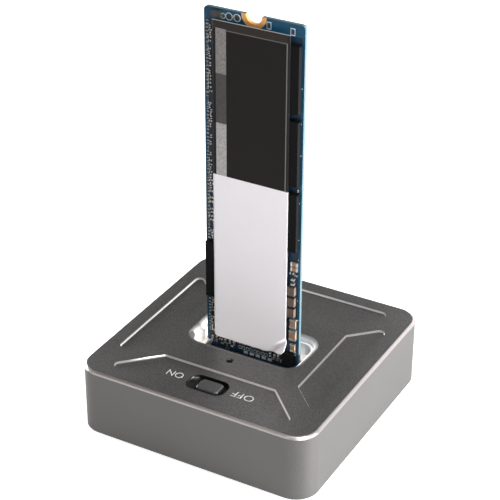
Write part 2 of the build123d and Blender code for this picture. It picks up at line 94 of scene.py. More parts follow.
# shader node helpers
def feed(tree, socket, value):
    """Links another node's output to a socket, or sets the socket to a constant."""
    if isinstance(value, bpy.types.NodeSocket):
        tree.links.new(value, socket)
    elif socket.type == "RGBA":
        socket.default_value = (*value, 1.0)
    else:
        socket.default_value = value


def add(tree, kind, inputs=None, **settings):
    """A new node with its settings made and its named inputs fed."""
    node = tree.nodes.new(kind)
    for key, value in settings.items():
        setattr(node, key, value)
    for name, value in (inputs or {}).items():
        feed(tree, node.inputs[name], value)
    return node


def maths(tree, operation, first, second=None, clamp=False):
    node = add(tree, "ShaderNodeMath", operation=operation, use_clamp=clamp)
    feed(tree, node.inputs[0], first)
    if second is not None:
        feed(tree, node.inputs[1], second)
    return node.outputs[0]


def vector(tree, x, y, z):
    return add(tree, "ShaderNodeCombineXYZ", {"X": x, "Y": y, "Z": z}).outputs[0]


def blend_colours(tree, factor, first, second):
    node = add(tree, "ShaderNodeMix", data_type="RGBA")
    for index, value in ((0, factor), (6, first), (7, second)):
        feed(tree, node.inputs[index], value)
    return node.outputs[2]


def blend_values(tree, factor, first, second):
    node = add(tree, "ShaderNodeMix", data_type="FLOAT")
    for index, value in ((0, factor), (2, first), (3, second)):
        feed(tree, node.inputs[index], value)
    return node.outputs[0]


def band(tree, value, low, high):
    """1 where value lies between low and high."""
    above = maths(tree, "GREATER_THAN", value, low)
    below = maths(tree, "LESS_THAN", value, high)
    return maths(tree, "MULTIPLY", above, below)


def object_place(tree):
    """Object coordinates as one vector, then their X, Y and Z."""
    place = add(tree, "ShaderNodeTexCoord").outputs["Object"]
    parts = add(tree, "ShaderNodeSeparateXYZ", {"Vector": place})
    return place, *parts.outputs


# surface grain, which every finish uses
PATCHES_PER_METRE = 90.0


def make_grain_group():
    """Fine surface grain: a tint that darkens and lightens the colour, a roughness and a height."""
    group = bpy.data.node_groups.new("surface_grain", "ShaderNodeTree")
    for name, kind, value in (("Colour", "NodeSocketColor", (0.5, 0.5, 0.5, 1.0)),
                              ("Grain size", "NodeSocketFloat", 0.1 * MM),
                              ("Tone", "NodeSocketFloat", 0.1),
                              ("Patch tone", "NodeSocketFloat", 0.1),
                              ("Roughness", "NodeSocketFloat", 0.5),
                              ("Roughness spread", "NodeSocketFloat", 0.1)):
        socket = group.interface.new_socket(name, in_out="INPUT", socket_type=kind)
        socket.default_value = value
    for name, kind in (("Colour", "NodeSocketColor"), ("Roughness", "NodeSocketFloat"),
                       ("Height", "NodeSocketFloat")):
        group.interface.new_socket(name, in_out="OUTPUT", socket_type=kind)
    given = group.nodes.new("NodeGroupInput").outputs
    place = add(group, "ShaderNodeTexCoord").outputs["Object"]
    rate = maths(group, "DIVIDE", 1.0, given["Grain size"])
    grain = add(group, "ShaderNodeTexNoise", {"Vector": place, "Scale": rate, "Detail": 2.0})
    patches = add(group, "ShaderNodeTexNoise",
                  {"Vector": place, "Scale": PATCHES_PER_METRE, "Detail": 3.0})
    centred_grain = maths(group, "SUBTRACT", grain.outputs["Fac"], 0.5)
    centred_patch = maths(group, "SUBTRACT", patches.outputs["Fac"], 0.5)
    tone = maths(group, "ADD", maths(group, "MULTIPLY", centred_grain, given["Tone"]),
                 maths(group, "MULTIPLY", centred_patch, given["Patch tone"]))
    level = maths(group, "ADD", maths(group, "MULTIPLY", tone, 2.0), 1.0)
    tint = add(group, "ShaderNodeVectorMath", {"Scale": level}, operation="SCALE")
    feed(group, tint.inputs[0], given["Colour"])
    spread = maths(group, "MULTIPLY", centred_patch, given["Roughness spread"])
    change = maths(group, "MULTIPLY", spread, 2.0)
    roughness = maths(group, "ADD", given["Roughness"], change, clamp=True)
    add(group, "NodeGroupOutput",
        {"Colour": tint.outputs[0], "Roughness": roughness, "Height": grain.outputs["Fac"]})
    return group


GRAIN = make_grain_group()


def place_grain(tree, colour, grain_size, tone, patch_tone, roughness, spread):
    return add(tree, "ShaderNodeGroup",
               {"Colour": colour, "Grain size": grain_size, "Tone": tone, "Patch tone": patch_tone,
                "Roughness": roughness, "Roughness spread": spread}, node_tree=GRAIN)


def new_material(name, colour):
    """An empty node material and its tree; the colour is for the plain solid view only."""
    material = bpy.data.materials.new(name)
    material.use_nodes = True
    material.node_tree.nodes.clear()
    material.diffuse_color = (*colour, 1.0)
    return material, material.node_tree


def close_material(tree, grain, bump, bump_height, **constants):
    """The Principled shader fed by a grain group, with constants set on its own sockets."""
    relief = add(tree, "ShaderNodeBump",
                 {"Strength": bump, "Distance": bump_height, "Height": grain.outputs["Height"]})
    shader = add(tree, "ShaderNodeBsdfPrincipled",
                 {"Base Color": grain.outputs["Colour"], "Roughness": grain.outputs["Roughness"],
                  "Normal": relief.outputs["Normal"]})
    for name, value in constants.items():
        shader.inputs[name.replace("_", " ")].default_value = value
    add(tree, "ShaderNodeOutputMaterial", {"Surface": shader.outputs[0]})


def finish(name, colour, roughness, grain_size=0.12, tone=0.08, patch_tone=0.06, spread=0.05, bump=0.15,
           **constants):
    """A material of one substance, with its grain size in millimetres."""
    material, tree = new_material(name, colour)
    grain = place_grain(tree, colour, grain_size * MM, tone, patch_tone, roughness, spread)
    close_material(tree, grain, bump, 0.01 * MM, **constants)
    return material


# the dock's finishes
ALUMINIUM = (0.138, 0.134, 0.131)
anodised = finish("anodised_body", ALUMINIUM, 0.40, grain_size=0.15, tone=0.32, patch_tone=0.05,
                  spread=0.03, bump=0.4, Metallic=0.92)
anodised_top = finish("anodised_top", ALUMINIUM, 0.40, grain_size=0.26, tone=0.8, patch_tone=0.05,
                      spread=0.03, bump=0.4, Metallic=0.92)
cut_edge = finish("cut_edge", (0.46, 0.43, 0.42), 0.38, grain_size=0.2, tone=0.06, patch_tone=0.03,
                  bump=0.1, Metallic=0.92)
pocket_wall = finish("pocket_wall", (0.72, 0.68, 0.66), 0.36, grain_size=0.2, tone=0.06,
                     patch_tone=0.03, bump=0.1, Metallic=0.9)
# painted shade: a dark matt finish where walls lie in shade, in place of the housing's metal and the
# lining's white: the opening's walls that face the card, the housing's inside and the top of the
# lining's front wall
wall_painted_shade = finish("wall_painted_shade", (0.085, 0.084, 0.082), 0.6, Specular_IOR_Level=0.15)
# painted shade: the switch recess below the pocket floor and the light hole's rim are the same anodised
# metal, darkened to stand for their shade
hollow_painted_shade = finish("hollow_painted_shade", (0.045, 0.045, 0.045), 0.34, grain_size=0.2, tone=0.06, bump=0.1,
                     Metallic=0.9)
white_liner = finish("white_liner", (0.92, 0.88, 0.84), 0.65, grain_size=0.3, tone=0.02,
                     patch_tone=0.02, bump=0.05, Specular_IOR_Level=0.3)
black_moulding = finish("black_moulding", (0.018, 0.018, 0.019), 0.45, grain_size=0.1, tone=0.1,
                        bump=0.2)
knob_plastic = finish("knob_plastic", (0.034, 0.034, 0.034), 0.36, tone=0.06, bump=0.1)
foot_rubber = finish("foot_rubber", (0.022, 0.022, 0.023), 0.8, grain_size=0.2, tone=0.15, bump=0.3)
plated_screw = finish("plated_screw", (0.42, 0.41, 0.40), 0.35, patch_tone=0.12, Metallic=1.0)
dock_board_mask = finish("dock_board_mask", (0.012, 0.11, 0.045), 0.32, grain_size=0.5, tone=0.15,
                         patch_tone=0.15, Coat_Weight=0.4)
tinned_steel = finish("tinned_steel", (0.60, 0.59, 0.57), 0.3, tone=0.06, patch_tone=0.1, Metallic=1.0)
led_package = finish("led_package", (0.78, 0.76, 0.6), 0.4)
metal_can = finish("metal_can", (0.55, 0.54, 0.52), 0.3, tone=0.05, patch_tone=0.08, Metallic=1.0)
ferrite = finish("ferrite", (0.06, 0.06, 0.062), 0.6, grain_size=0.15, tone=0.25, bump=0.4)
marking_ink = finish("marking_ink", (0.55, 0.55, 0.54), 0.5, grain_size=0.15, bump=0.1)

# the card's finishes
gold_plating = finish("gold_plating", (0.83, 0.52, 0.18), 0.28, tone=0.05, patch_tone=0.08, Metallic=1.0)
ring_plating = finish("ring_plating", (0.76, 0.40, 0.13), 0.42, tone=0.05, Metallic=0.55)
solder = finish("solder", (0.62, 0.60, 0.56), 0.33, grain_size=0.2, tone=0.15, patch_tone=0.1,
                Metallic=0.9)
chip_black = finish("chip_black", (0.005, 0.005, 0.0052), 0.5, grain_size=0.08, tone=0.2, bump=0.3,
                    Specular_IOR_Level=0.07)
tan_ceramic = finish("tan_ceramic", (0.25, 0.155, 0.092), 0.45, grain_size=0.2, tone=0.15)
brown_ceramic = finish("brown_ceramic", (0.105, 0.073, 0.056), 0.42, grain_size=0.2, tone=0.12)
resistor_black = finish("resistor_black", (0.03, 0.03, 0.032), 0.4)
board_edge = finish("board_edge", (0.06, 0.105, 0.12), 0.5, grain_size=0.25, tone=0.15, patch_tone=0.1)
pale_ink = finish("pale_ink", (0.46, 0.55, 0.60), 0.5, grain_size=0.3, tone=0.1)
dark_pad = finish("dark_pad", (0.028, 0.022, 0.018), 0.4)
olive_pad = finish("olive_pad", (0.11, 0.10, 0.04), 0.4, tone=0.1)
label_back = finish("label_back", (0.62, 0.61, 0.60), 0.45, tone=0.05)


def make_slot_lip():
    """The opening's rounded lip with a painted reflection, grey at the dock's top and white where it
    meets the lining.
    """
    material, tree = new_material("lip_painted_reflection", (0.5, 0.5, 0.5))
    _, _, _, z = object_place(tree)
    # painted reflection: the lip whitens with depth, standing in for the lit lining that the metal lip
    # would show
    depth = add(tree, "ShaderNodeMapRange",
                {"Value": z, "From Min": DOCK_TOP, "From Max": DOCK_TOP - LIP_FADE},
                interpolation_type="SMOOTHSTEP")
    colour = blend_colours(tree, depth.outputs["Result"], (0.16, 0.156, 0.152), (0.78, 0.77, 0.76))
    grain = place_grain(tree, colour, 0.2 * MM, tone=0.04, patch_tone=0.03, roughness=0.55, spread=0.03)
    close_material(tree, grain, 0.08, 0.01 * MM, Specular_IOR_Level=0.3)
    return material


def make_clear_plastic():
    material, tree = new_material("clear_plastic", (0.8, 0.8, 0.8))
    grain = place_grain(tree, (0.05, 0.052, 0.052), 0.2 * MM, tone=0.03, patch_tone=0.03,
                        roughness=0.25, spread=0.04)
    close_material(tree, grain, 0.05, 0.004 * MM, Transmission_Weight=0.3, IOR=1.49)
    return material


def make_card_mask():
    """Blue solder mask: bright round the notch and along the edges, darkened with painted shade where
    parts crowd, with tracks on the back.
    """
    material, tree = new_material("card_mask", (0.01, 0.1, 0.22))
    place, x, y, z = object_place(tree)
    copper = add(tree, "ShaderNodeTexVoronoi", {"Vector": place, "Scale": 1.0 / COPPER_PATCH},
                 feature="F1", distance="CHEBYCHEV")
    patch = copper.outputs["Distance"]
    open_blue = blend_colours(tree, patch, (0.004, 0.062, 0.120), (0.003, 0.044, 0.092))
    # painted shade: a darker blue for the mask among the parts, where shade falls under the label and
    # between the chips
    painted_shade_blue = blend_colours(tree, patch, (0.0035, 0.024, 0.052), (0.002, 0.010, 0.022))
    turned = add(tree, "ShaderNodeMapping", {"Vector": place, "Rotation": (pi / 2, 0.0, 0.0)})
    tracks = add(tree, "ShaderNodeTexBrick",
                 {"Vector": turned.outputs["Vector"], "Scale": 1.0 / TRACK_TILE, "Mortar Size": 0.02,
                  "Mortar Smooth": 0.2, "Brick Width": 0.16, "Row Height": 0.55})
    between = maths(tree, "MULTIPLY", tracks.outputs["Fac"], 0.5)
    back_colour = blend_colours(tree, between, open_blue, (0.008, 0.14, 0.27))
    off_edge = maths(tree, "LESS_THAN", maths(tree, "ABSOLUTE", x), CARD_HALF - BARE_MARGIN)
    below_notch = maths(tree, "LESS_THAN", z, CARD_SHOULDER + PARTS_TOP)
    painted_shade_zone = maths(tree, "MULTIPLY", off_edge, below_notch)
    front_colour = blend_colours(tree, painted_shade_zone, open_blue, painted_shade_blue)
    front = maths(tree, "LESS_THAN", y, CARD_MIDDLE)
    colour = blend_colours(tree, front, back_colour, front_colour)
    grain = place_grain(tree, colour, 0.3 * MM, tone=0.06, patch_tone=0.06, roughness=0.38, spread=0.06)
    close_material(tree, grain, 0.1, 0.01 * MM, Specular_IOR_Level=0.3)
    return material


def make_label_print():
    """The label's bare print: a black upper part with a frame line and a silver strip, white below."""
    material, tree = new_material("label_print", (0.6, 0.6, 0.6))
    place, x, _, z = object_place(tree)
    right = label_high.x
    top = label_high.z
    white_top = CARD_SHOULDER + 41.0 * MM
    black_top = top - 0.12 * MM
    frame_top = top - 1.75 * MM
    frame_right = right - 0.55 * MM
    line = 0.22 * MM
    strip_left = LABEL_LEFT + 0.75 * MM
    strip_right = LABEL_LEFT + 3.1 * MM
    noise = add(tree, "ShaderNodeTexNoise", {"Vector": place, "Scale": 1.0 / (0.5 * MM), "Detail": 4.0})
    speckle = noise.outputs["Fac"]
    silver = blend_colours(tree, speckle, (0.09, 0.086, 0.082), (0.31, 0.297, 0.288))
    dim_silver = blend_colours(tree, speckle, (0.045, 0.041, 0.040), (0.09, 0.085, 0.083))
    bright_silver = blend_colours(tree, speckle, (0.18, 0.172, 0.168), (0.52, 0.505, 0.495))
    black = (0.0115, 0.0102, 0.0098)
    colour = blend_colours(tree, band(tree, z, frame_top, black_top), black, (0.028, 0.024, 0.021))
    colour = blend_colours(tree, band(tree, x, frame_right, right), colour, (0.020, 0.018, 0.0175))
    frame_line = maths(tree, "MULTIPLY", band(tree, z, frame_top - line, frame_top),
                       band(tree, x, strip_right, frame_right))
    side_line = maths(tree, "MULTIPLY", band(tree, x, frame_right - line, frame_right),
                      maths(tree, "LESS_THAN", z, frame_top))
    colour = blend_colours(tree, frame_line, colour, (0.10, 0.095, 0.09))
    colour = blend_colours(tree, side_line, colour, (0.16, 0.155, 0.15))
    strip = band(tree, x, strip_left, strip_right)
    for start, end, tone in ((1.6, 11.0, silver), (11.0, 21.6, dim_silver), (21.6, 33.2, bright_silver)):
        field = maths(tree, "MULTIPLY", strip, band(tree, z, top - end * MM, top - start * MM))
        colour = blend_colours(tree, field, colour, tone)
    colour = blend_colours(tree, maths(tree, "GREATER_THAN", z, black_top), colour, (0.30, 0.29, 0.28))
    white = maths(tree, "LESS_THAN", z, white_top)
    colour = blend_colours(tree, white, colour, (0.79, 0.765, 0.79))
    roughness = maths(tree, "ADD", maths(tree, "MULTIPLY", white, 0.06), 0.36)
    grain = place_grain(tree, colour, 0.25 * MM, tone=0.02, patch_tone=0.02, roughness=roughness,
                        spread=0.03)
    close_material(tree, grain, 0.04, 0.004 * MM, Specular_IOR_Level=0.1)
    return material


lip_painted_reflection = make_slot_lip()
clear_plastic = make_clear_plastic()
card_mask = make_card_mask()
label_print = make_label_print()


# making and placing pieces
def new_object(name, data):
    piece = bpy.data.objects.new(name, data)
    bpy.context.scene.collection.objects.link(piece)
    return piece


def settle(piece, body, slot, *nodes):
    """Says which body a finished piece rides on and hides the CAD nodes that it stands for; slot, its
    finish, is not used.
    """
    if nodes:
        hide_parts(*nodes)
    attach(piece, body)


def plain_mesh(piece):
    """A mesh of the object as its modifiers or its text leave it."""
    graph = bpy.context.evaluated_depsgraph_get()
    return bpy.data.meshes.new_from_object(piece.evaluated_get(graph), depsgraph=graph)


def harden(piece):
    """Applies the piece's modifiers, so that its mesh is plain."""
    mesh = plain_mesh(piece)
    piece.modifiers.clear()
    piece.data = mesh
    mesh.name = piece.name


def weight_normals(piece):
    """Keeps flat faces flat where they run into rounded edges, because they are the larger ones."""
    modifier = piece.modifiers.new("flat faces", "WEIGHTED_NORMAL")
    modifier.mode = "FACE_AREA"
    modifier.weight = 50
    modifier.keep_sharp = True
    harden(piece)


def merged_shape(node):
    """A copy of a CAD node's mesh with its loose triangles joined into whole flat faces."""
    shape = bmesh.new()
    shape.from_mesh(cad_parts[node].data)
    bmesh.ops.remove_doubles(shape, verts=shape.verts, dist=1e-7)
    bmesh.ops.dissolve_degenerate(shape, edges=shape.edges, dist=1e-8)
    bmesh.ops.dissolve_limit(shape, angle_limit=radians(0.4), verts=shape.verts, edges=shape.edges)
    shape.normal_update()
    return shape


def dress_node(node, name, body, slot, materials, pick=None, angle=35.0):
    """Stands a smooth copy in for a CAD node; pick names a face's material by its centre and normal."""
    shape = merged_shape(node)
    if pick:
        for face in shape.faces:
            face.material_index = materials.index(pick(face.calc_center_median(), face.normal))
    mesh = bpy.data.meshes.new(name)
    shape.to_mesh(mesh)
    shape.free()
    for material in materials:
        mesh.materials.append(material)
    mesh.shade_smooth()
    mesh.set_sharp_from_angle(angle=radians(angle))
    piece = new_object(name, mesh)
    weight_normals(piece)
    settle(piece, body, slot, node)


def paint_node(node, material):
    """A hidden or plain CAD node keeps its own mesh and gets a real finish."""
    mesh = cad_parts[node].data
    if not mesh.materials:
        mesh.materials.append(material)
    for index in range(len(mesh.materials)):
        mesh.materials[index] = material


# geometry node trees for what repeats
def new_geometry_tree(name, sizes):
    """A tree that takes points and named sizes, with its sockets for the points and the sizes."""
    tree = bpy.data.node_groups.new(name, "GeometryNodeTree")
    tree.interface.new_socket("Points", in_out="INPUT", socket_type="NodeSocketGeometry")
    for label, value in sizes.items():
        socket = tree.interface.new_socket(label, in_out="INPUT", socket_type="NodeSocketFloat")
        socket.default_value = value
    tree.interface.new_socket("Geometry", in_out="OUTPUT", socket_type="NodeSocketGeometry")
    given = tree.nodes.new("NodeGroupInput").outputs
    return tree, given["Points"], [given[label] for label in sizes]


def painted(tree, geometry, material):
    return add(tree, "GeometryNodeSetMaterial", {"Geometry": geometry, "Material": material}).outputs[0]


def moved(tree, geometry, x, y, z):
    offset = vector(tree, x, y, z)
    return add(tree, "GeometryNodeTransform", {"Geometry": geometry, "Translation": offset}).outputs[0]


def joined(tree, *parts):
    node = add(tree, "GeometryNodeJoinGeometry")
    for part in parts:
        feed(tree, node.inputs[0], part)
    return node.outputs[0]


def point_value(tree, name):
    node = add(tree, "GeometryNodeInputNamedAttribute", {"Name": name}, data_type="FLOAT")
    return node.outputs["Attribute"]


def end_with_copies(tree, points, shape):
    """Puts the shape on every point, with the point's own turn and size, and makes the copies real."""
    size = point_value(tree, "size")
    copies = add(tree, "GeometryNodeInstanceOnPoints",
                 {"Points": points, "Instance": shape,
                  "Rotation": vector(tree, 0.0, point_value(tree, "turn"), 0.0),
                  "Scale": vector(tree, size, size, size)})
    real = add(tree, "GeometryNodeRealizeInstances", {"Geometry": copies.outputs[0]})
    add(tree, "NodeGroupOutput", {"Geometry": real.outputs[0]})


def make_chip_part_tree(name, body_material, end_material):
    """A chip part lying along X on the card's front: a body between two ends of another material."""
    sizes = {"Length": 1.0 * MM, "Width": 0.5 * MM, "Height": 0.5 * MM, "End length": 0.25 * MM,
             "Body inset": 0.03 * MM}
    tree, points, (length, width, height, end, inset) = new_geometry_tree(name, sizes)
    span = maths(tree, "SUBTRACT", length, end)
    body_size = vector(tree, span, maths(tree, "SUBTRACT", height, inset),
                       maths(tree, "SUBTRACT", width, inset))
    body = add(tree, "GeometryNodeMeshCube", {"Size": body_size})
    cap = add(tree, "GeometryNodeMeshCube", {"Size": vector(tree, end, height, width)})
    reach = maths(tree, "DIVIDE", span, 2.0)
    lift = maths(tree, "DIVIDE", height, -2.0)
    ends = painted(tree, cap.outputs["Mesh"], end_material)
    middle = moved(tree, painted(tree, body.outputs["Mesh"], body_material), 0.0, lift, 0.0)
    right_end = moved(tree, ends, reach, lift, 0.0)
    left_end = moved(tree, ends, maths(tree, "MULTIPLY", reach, -1.0), lift, 0.0)
    end_with_copies(tree, points, joined(tree, middle, right_end, left_end))
    return tree


def make_ring_pad_tree(name, ring_material, pad_material):
    """A printed ring round a small pad on the card's front."""
    sizes = {"Ring radius": 0.45 * MM, "Ring line": 0.12 * MM, "Pad radius": 0.28 * MM,
             "Ring rise": 0.02 * MM, "Pad rise": 0.04 * MM}
    tree, points, (radius, line, pad_radius, rise, pad_rise) = new_geometry_tree(name, sizes)
    circle = add(tree, "GeometryNodeCurvePrimitiveCircle", {"Radius": radius, "Resolution": 20},
                 mode="RADIUS")
    profile = add(tree, "GeometryNodeCurvePrimitiveQuadrilateral", {"Width": line, "Height": rise},
                  mode="RECTANGLE")
    ring = add(tree, "GeometryNodeCurveToMesh",
               {"Curve": circle.outputs["Curve"], "Profile Curve": profile.outputs["Curve"]})
    disc = add(tree, "GeometryNodeMeshCylinder",
               {"Vertices": 16, "Radius": pad_radius, "Depth": pad_rise}, fill_type="NGON")
    flat = joined(tree, painted(tree, ring.outputs[0], ring_material),
                  painted(tree, disc.outputs["Mesh"], pad_material))
    upright = add(tree, "GeometryNodeTransform", {"Geometry": flat, "Rotation": (pi / 2, 0.0, 0.0)})
    end_with_copies(tree, points, upright.outputs[0])
    return tree


def make_solder_dot_tree(name, material):
    """A low round solder joint on the card's front."""
    tree, points, (radius,) = new_geometry_tree(name, {"Radius": 0.2 * MM})
    ball = add(tree, "GeometryNodeMeshIcoSphere", {"Radius": radius, "Subdivisions": 2})
    end_with_copies(tree, points, painted(tree, ball.outputs["Mesh"], material))
    return tree


def points_on_card(name, places):
    """Loose points on the card's front with a turn and a size of their own.

    Places are x and height above the shoulder in mm, turn about Y in degrees, and size.
    """
    mesh = bpy.data.meshes.new(name)
    mesh.from_pydata([(x * MM, CARD_FRONT, CARD_SHOULDER + v * MM) for x, v, _, _ in places], [], [])
    turns = [radians(turn) for _, _, turn, _ in places]
    sizes = [size for _, _, _, size in places]
    for label, values in (("turn", turns), ("size", sizes)):
        mesh.attributes.new(label, "FLOAT", "POINT").data.foreach_set("value", values)
    return mesh


def grow_on_card(name, tree, places, sizes, slot, *nodes):
    """Runs a tree on points on the card's front and keeps the plain mesh; sizes are in mm."""
    piece = new_object(name, points_on_card(name, places))
    modifier = piece.modifiers.new("copies", "NODES")
    modifier.node_group = tree
    for item in tree.interface.items_tree:
        if item.in_out == "INPUT" and item.name in sizes:
            modifier[item.identifier] = sizes[item.name] * MM
    harden(piece)
    for label in ("turn", "size"):
        attribute = piece.data.attributes.get(label)
        if attribute:
            piece.data.attributes.remove(attribute)
    settle(piece, "ssd", slot, *nodes)


# the dock
def pick_housing(centre, normal):
    """The housing's finish: bright where cut, a pale painted reflection at the slot's lip, dark painted
    shade in holes and on walls in shade, or anodised.
    """
    in_recess = abs(centre.x) < RECESS_HALF_X and abs(centre.y - SWITCH_Y) < RECESS_HALF_Y
    # painted shade in the switch recess
    if in_recess and centre.z < POCKET_FLOOR - HAIR:
        return hollow_painted_shade
    near_slot = abs(centre.x) < LIP_HALF_X and abs(centre.y) < LIP_HALF_Y
    if near_slot and DOCK_TOP - LIP_DEPTH < centre.z < DOCK_TOP - HAIR:
        # painted shade on the opening's walls that face the card; the rest of the lip takes the painted
        # reflection
        return wall_painted_shade if normal.y > 0.1 else lip_painted_reflection
    # painted shade round the light hole
    if (centre.xy - LIGHT_HOLE).length < LIGHT_REACH and normal.z < 0.9:
        return hollow_painted_shade
    if centre.z > DOCK_TOP - CUT_DEPTH and 0.3 < normal.z < 0.9:
        at_rim = max(abs(centre.x), abs(centre.y)) > DOCK_HALF - RIM_WIDTH
        return cut_edge if at_rim else pocket_wall
    # painted shade on the housing's inside
    faces_in = centre.x * normal.x + centre.y * normal.y < 0.0
    if faces_in and not near_slot and centre.z < DOCK_TOP - TOP_THICKNESS:
        return wall_painted_shade
    return anodised_top if normal.z > 0.9 else anodised


def pick_liner(centre, normal):
    """White, but dark at the top of its front wall, which lies in the housing's shade."""
    at_front = centre.y < LINER_FRONT and abs(centre.x) < LINER_HALF_X
    # painted shade on the top of the lining's front wall
    return wall_painted_shade if at_front and centre.z > DOCK_TOP - LINER_SHADE else white_liner


def make_dock():
    dress_node("top_housing", "dock_housing", "dock", "anodised_aluminium",
               [anodised, cut_edge, lip_painted_reflection, wall_painted_shade, hollow_painted_shade, pocket_wall, anodised_top],
               pick_housing, angle=32.0)
    dress_node("slot_liner", "slot_lining", "dock", "white_liner", [white_liner, wall_painted_shade], pick_liner)
    dress_node("bottom_cover", "base_plate", "dock", "anodised_aluminium", [anodised])
    dress_node("cover_screws", "base_screws", "dock", "screw_steel", [plated_screw])
    dress_node("rubber_feet", "feet", "dock", "rubber", [foot_rubber], angle=50.0)
    dress_node("connector_housing", "card_connector", "dock", "black_plastic", [black_moulding])
    dress_node("port_shell", "usb_c_shell", "dock", "steel", [tinned_steel])
    dress_node("port_tongue", "usb_c_tongue", "dock", "black_plastic", [black_moulding])
    dress_node("light_pipe", "status_light_pipe", "dock", "clear_plastic", [clear_plastic])
    for node, material in (("main_board", dock_board_mask), ("board_screws", plated_screw),
                           ("connector_contacts", gold_plating), ("port_contacts", gold_plating),
                           ("switch_frame", tinned_steel), ("switch_base", black_moulding),
                           ("switch_terminals", tinned_steel), ("status_led", led_package),
                           ("bridge_chip", chip_black), ("firmware_memory", chip_black),
                           ("crystal", metal_can), ("power_inductor", ferrite),
                           ("voltage_regulators", chip_black), ("board_capacitors", tan_ceramic),
                           ("switch_slider", black_moulding)):
        paint_node(node, material)


def make_switch():
    dress_node("switch_knob", "switch_thumb", "switch", "knob_plastic", [knob_plastic], angle=50.0)


LETTER_HEIGHT = 2.7 * MM
LETTER_THINNING = 0.05 * MM
INK_HALF_THICKNESS = 0.01 * MM


def make_marking(word, centre_x, centre_y, width):
    """A printed word on the front pocket's floor, read from behind the dock; lengths in mm."""
    curve = bpy.data.curves.new("marking_" + word.lower(), "FONT")
    curve.body = word
    curve.size = LETTER_HEIGHT
    curve.offset = -LETTER_THINNING
    curve.extrude = INK_HALF_THICKNESS
    curve.align_x = "CENTER"
    curve.align_y = "CENTER"
    holder = new_object(curve.name, curve)
    mesh = plain_mesh(holder)
    name = holder.name
    bpy.data.objects.remove(holder)
    wide = max(v.co.x for v in mesh.vertices) - min(v.co.x for v in mesh.vertices)
    place = Matrix.Translation((centre_x * MM, centre_y * MM, POCKET_FLOOR + INK_HALF_THICKNESS))
    stretch = Matrix.Diagonal((width * MM / wide, 1.0, 1.0, 1.0))
    mesh.transform(place @ Matrix.Rotation(pi, 4, "Z") @ stretch)
    mesh.materials.clear()
    mesh.materials.append(marking_ink)
    settle(new_object(name, mesh), "dock", "white_liner")


# the card
def pick_card_board(centre, normal):
    """Solder mask on the card's faces, bare board on its cut edges."""
    return card_mask if abs(normal.y) > 0.7 else board_edge


def make_card():
    dress_node("ssd_board", "card_board", "ssd", "ssd_board_blue", [card_mask, board_edge],
               pick_card_board)
    dress_node("ssd_mounting_ring", "card_ring", "ssd", "gold", [ring_plating])
    paint_node("ssd_edge_contacts", gold_plating)
    for node, name in (("ssd_memory_chips", "memory_chips"), ("ssd_memory_buffer", "memory_buffer"),
                       ("ssd_controller", "card_controller"), ("ssd_power_chip", "power_chip")):
        dress_node(node, name, "ssd", "chip_black", [chip_black], angle=25.0)


# Trees and sizes in mm for the parts on the card's front
# The brown capacitors' metal ends take the black resistor finish: painted shade, where they sit dark
# between the blocks.
brown_block = make_chip_part_tree("brown_capacitor", brown_ceramic, resistor_black)
tan_block = make_chip_part_tree("tan_capacitor", tan_ceramic, solder)
black_block = make_chip_part_tree("resistor", resistor_black, solder)
plain_block = make_chip_part_tree("plain_part", resistor_black, dark_pad)
strip_mark = make_chip_part_tree("strip_mark", dark_pad, pale_ink)
foot_mark = make_chip_part_tree("foot_mark", pale_ink, pale_ink)
ringed_pad = make_ring_pad_tree("ringed_dark_pad", pale_ink, dark_pad)
ringed_olive_pad = make_ring_pad_tree("ringed_olive_pad", pale_ink, olive_pad)
solder_dot = make_solder_dot_tree("solder_dot", solder)
LARGE_SIZES = {"Length": 2.1, "Width": 1.7, "Height": 1.0, "End length": 0.1}
SMALL_SIZES = {"Length": 2.5, "Width": 1.5, "Height": 0.7, "End length": 0.5}
TINY_SIZES = {"Length": 1.0, "Width": 0.5, "Height": 0.4, "End length": 0.26}
MARK_SIZES = {"Length": 0.9, "Width": 0.6, "Height": 0.05, "End length": 0.22, "Body inset": 0.0}
CORNER_SIZES = {"Length": 1.9, "Width": 1.3, "Height": 0.7, "End length": 0.3}
LARGE_COLUMN = 9.3
LARGE_LOWEST = 13.225
LARGE_PITCH = 2.55
SMALL_COLUMN = 9.7


def make_card_capacitors():
    """The brown and tan ceramic blocks down the card's right side."""
    large = [(LARGE_COLUMN, LARGE_LOWEST + LARGE_PITCH * number, 90.0, 1.0) for number in range(3)]
    grow_on_card("large_capacitors", brown_block, large, LARGE_SIZES, "brown_ceramic",
                 "ssd_large_capacitors")
    small = [(SMALL_COLUMN, v, turn, size) for v, turn, size in (
        (4.5, 90.0, 0.72), (7.65, 90.0, 1.0), (10.4, 90.0, 0.88), (23.35, 0.0, 0.6), (24.45, 0.0, 0.6))]
    grow_on_card("small_capacitors", tan_block, small, SMALL_SIZES, "ceramic", "ssd_small_capacitors")


STRIP_LOWEST = 2.9
STRIP_HIGHEST = 73.0
MARK_COLUMN = -10.3
PART_COLUMN = -9.6


def make_strip_parts():
    """Tiny parts and printed marks down the card's left edge, and a few at its right edge."""
    pick = random.Random(7)
    marks = []
    tan = []
    black = []
    v = STRIP_LOWEST
    while v < STRIP_HIGHEST:
        marks.append((MARK_COLUMN + pick.uniform(-0.06, 0.06), v, 90.0, pick.uniform(0.6, 0.95)))
        if pick.random() < 0.75:
            row = pick.choice((tan, black, black))
            row.append((PART_COLUMN + pick.uniform(-0.2, 0.2), v, pick.choice((0.0, 90.0)),
                        pick.uniform(0.55, 0.8)))
        v += pick.uniform(0.7, 0.95)
    tan += [(10.1, 21.9, 0.0, 0.6), (10.1, 27.6, 90.0, 0.5), (10.15, 41.3, 90.0, 0.5)]
    black += [(9.5, 20.4, 90.0, 1.5), (9.2, 22.3, 0.0, 0.9), (10.2, 3.1, 90.0, 0.8),
              (10.15, 55.0, 90.0, 0.5)]
    grow_on_card("strip_capacitors", tan_block, tan, TINY_SIZES, "ceramic")
    grow_on_card("strip_resistors", black_block, black, TINY_SIZES, "chip_black")
    grow_on_card("strip_marks", strip_mark, marks, MARK_SIZES, "ssd_board_blue")


